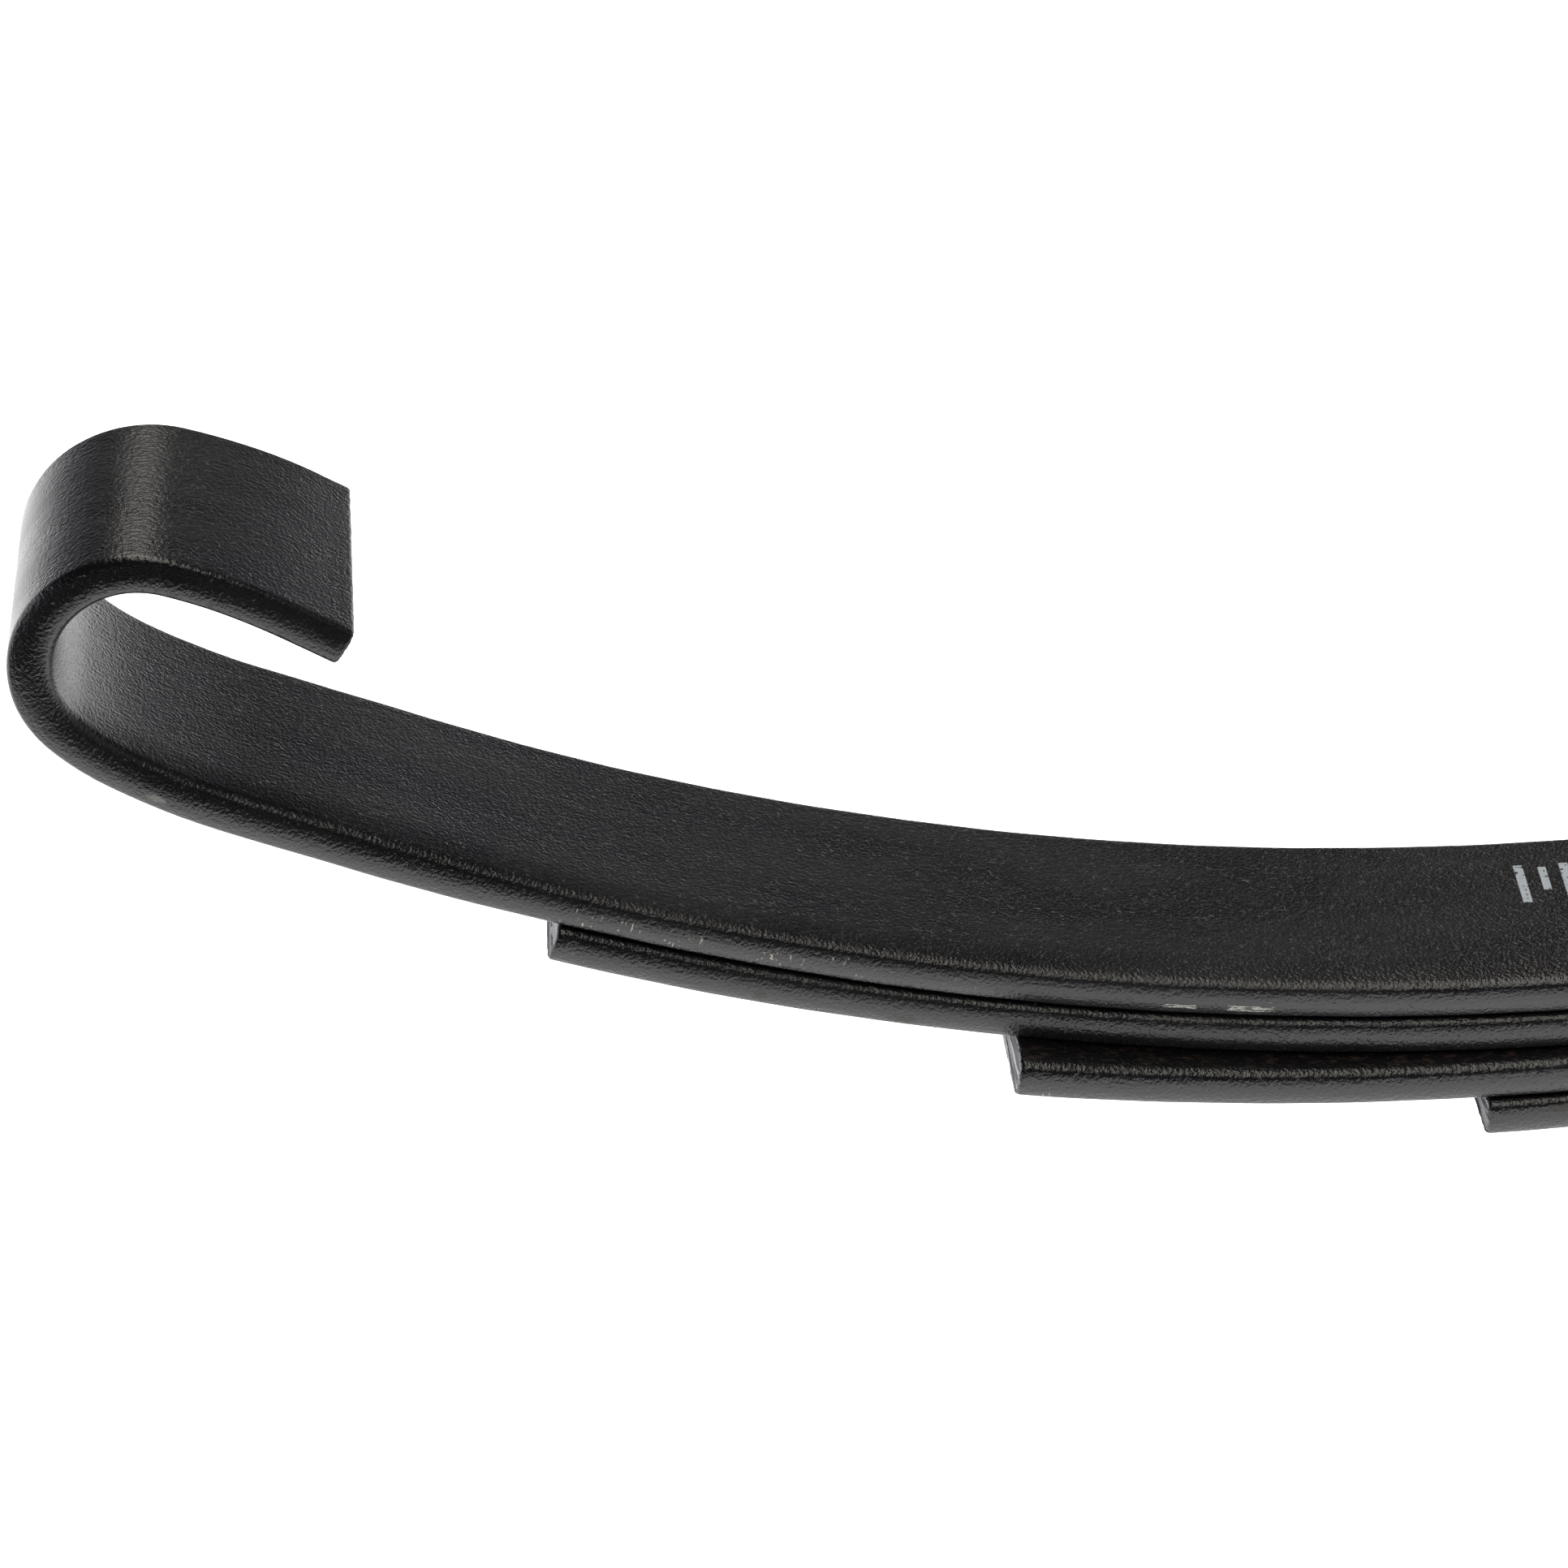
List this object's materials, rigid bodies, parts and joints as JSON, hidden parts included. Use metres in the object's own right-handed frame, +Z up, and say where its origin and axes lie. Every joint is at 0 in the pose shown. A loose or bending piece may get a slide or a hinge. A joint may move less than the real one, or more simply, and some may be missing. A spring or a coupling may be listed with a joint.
{
  "type": "leaf spring",
  "caption": "Trailer slipper leaf spring: arched flat leaves stacked on a centre bolt, with an open hook at one end and a rolled, bushed eye at the other",
  "frame": {"origin": "on the centre bolt's axis, at the underside of the shortest leaf, which is the face that sits on the axle seat", "axes": "+X along the spring to the eye, with the hook at -X; +Y across its width; +Z up along the centre bolt"},
  "size_m": [0.655, 0.058, 0.1836],
  "materials": {
    "leaf_paint": "satin black paint over rolled spring steel, with fine pits and roll lines",
    "bolt_paint": "the same black paint over a forged bolt and nut",
    "nylon": "natural off-white nylon"
  },
  "bodies": {
    "pack": {"center_bolt": "bolt_paint", "center_nut": "bolt_paint", "leaf_2": "leaf_paint", "leaf_3": "leaf_paint", "leaf_4": "leaf_paint"},
    "ends": {"main_leaf": "leaf_paint", "eye_bushing": "nylon"}
  },
  "joints": [
    {"name": "spring_travel", "type": "slide", "parent": "pack", "child": "ends", "axis": [0, 0, -1], "range_m": [0, 0.055], "stiffness_N_per_m": 137200, "deforming": ["main_leaf", "leaf_2", "leaf_3", "leaf_4"]}
  ]
}
